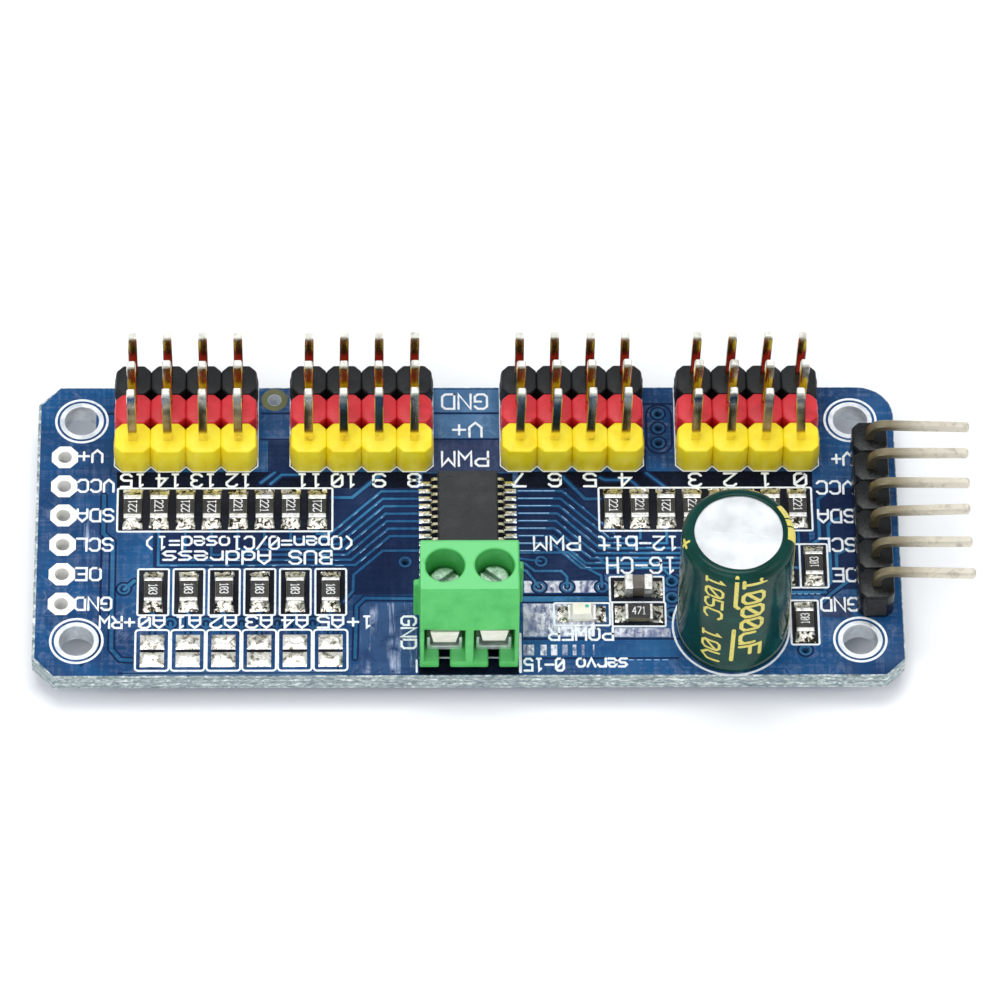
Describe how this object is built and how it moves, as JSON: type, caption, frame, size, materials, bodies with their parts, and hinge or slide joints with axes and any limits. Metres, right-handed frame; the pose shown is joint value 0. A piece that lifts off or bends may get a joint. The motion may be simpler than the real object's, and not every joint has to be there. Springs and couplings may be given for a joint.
{
  "type": "servo driver board",
  "caption": "Servo driver circuit board with three-row output headers, a bent control header, a driver chip, a reservoir capacitor and a working two-way screw terminal.",
  "frame": {"origin": "centre of the four mounting holes on the board's underside", "axes": "+X along the board towards the bent control pins, +Y towards the servo headers, +Z out of the component side"},
  "size_m": [0.0671, 0.0252, 0.0152],
  "materials": {
    "board_mask": "semi-gloss solder mask",
    "tin_plating": "bright tin",
    "masked_copper": "copper under solder mask",
    "solder": "bright solder",
    "yellow_plastic": "moulded",
    "red_plastic": "moulded",
    "black_plastic": "moulded",
    "gold_flashed_pin": "thin gold flash",
    "nickel_pin": "nickel",
    "chip_epoxy": "fine moulded texture",
    "lead_tin": "bright tin",
    "can_aluminium": "bright drawn aluminium",
    "sleeve_film": "glossy shrink film",
    "rubber_bung": "matte",
    "wound_foil": "paper and foil",
    "green_plastic": "semi-gloss moulded",
    "contact_brass": "tinned brass",
    "guard_tin": "tinned",
    "screw_steel": "zinc plated",
    "resistor_glaze": "black glaze on ceramic",
    "end_cap_tin": "tinned end caps",
    "brown_ceramic": "fired ceramic",
    "lamp_white": "white moulded",
    "lamp_lens": "cloudy resin"
  },
  "bodies": {
    "board_body": {"board": "board_mask", "mounting_hole_plating": "tin_plating", "spare_control_pads": "tin_plating", "vias": "masked_copper", "jumper_pads": "solder", "signal_housing_1": "yellow_plastic", "signal_housing_2": "yellow_plastic", "signal_housing_3": "yellow_plastic", "signal_housing_4": "yellow_plastic", "power_housing_1": "red_plastic", "power_housing_2": "red_plastic", "power_housing_3": "red_plastic", "power_housing_4": "red_plastic", "ground_housing_1": "black_plastic", "ground_housing_2": "black_plastic", "ground_housing_3": "black_plastic", "ground_housing_4": "black_plastic", "signal_pins_1": "gold_flashed_pin", "signal_pins_2": "gold_flashed_pin", "signal_pins_3": "gold_flashed_pin", "signal_pins_4": "gold_flashed_pin", "power_pins_1": "gold_flashed_pin", "power_pins_2": "gold_flashed_pin", "power_pins_3": "gold_flashed_pin", "power_pins_4": "gold_flashed_pin", "ground_pins_1": "gold_flashed_pin", "ground_pins_2": "gold_flashed_pin", "ground_pins_3": "gold_flashed_pin", "ground_pins_4": "gold_flashed_pin", "servo_header_solder": "solder", "control_header_housing": "black_plastic", "control_header_pins": "nickel_pin", "control_header_solder": "solder", "driver_chip_body": "chip_epoxy", "driver_chip_leads": "lead_tin", "capacitor_can": "can_aluminium", "capacitor_sleeve": "sleeve_film", "capacitor_bung": "rubber_bung", "capacitor_winding": "wound_foil", "capacitor_leads": "lead_tin", "power_solder": "solder", "terminal_housing": "green_plastic", "terminal_contact_left": "contact_brass", "terminal_contact_right": "contact_brass", "series_resistor_bodies": "resistor_glaze", "series_resistor_caps": "end_cap_tin", "pull_resistor_bodies": "resistor_glaze", "pull_resistor_caps": "end_cap_tin", "lamp_resistor_body": "resistor_glaze", "lamp_resistor_caps": "end_cap_tin", "bypass_capacitor_body": "brown_ceramic", "bypass_capacitor_caps": "end_cap_tin", "power_lamp_base": "lamp_white", "power_lamp_lens": "lamp_lens", "chip_solder": "solder"},
    "left_guard": {"wire_guard_left": "guard_tin"},
    "right_guard": {"wire_guard_right": "guard_tin"},
    "left_screw": {"terminal_screw_left": "screw_steel"},
    "right_screw": {"terminal_screw_right": "screw_steel"}
  },
  "joints": [
    {"name": "left_guard_travel", "type": "slide", "parent": "board_body", "child": "left_guard", "axis": [0, 0, 1], "range_m": [-0.0011, 0]},
    {"name": "left_screw_turn", "type": "hinge", "parent": "left_guard", "child": "left_screw", "pos_m": [-0.00175, -0.0087, 0.0082], "axis": [0, 0, 1], "range_deg": [-990, 0]},
    {"name": "right_guard_travel", "type": "slide", "parent": "board_body", "child": "right_guard", "axis": [0, 0, 1], "range_m": [-0.0013, 0]},
    {"name": "right_screw_turn", "type": "hinge", "parent": "right_guard", "child": "right_screw", "pos_m": [0.00175, -0.0087, 0.0084], "axis": [0, 0, 1], "range_deg": [-1170, 0]}
  ],
  "couplings": [
    {"joint": "left_screw_turn", "follows": "left_guard_travel", "rad_per_m": 15708},
    {"joint": "right_screw_turn", "follows": "right_guard_travel", "rad_per_m": 15708}
  ]
}
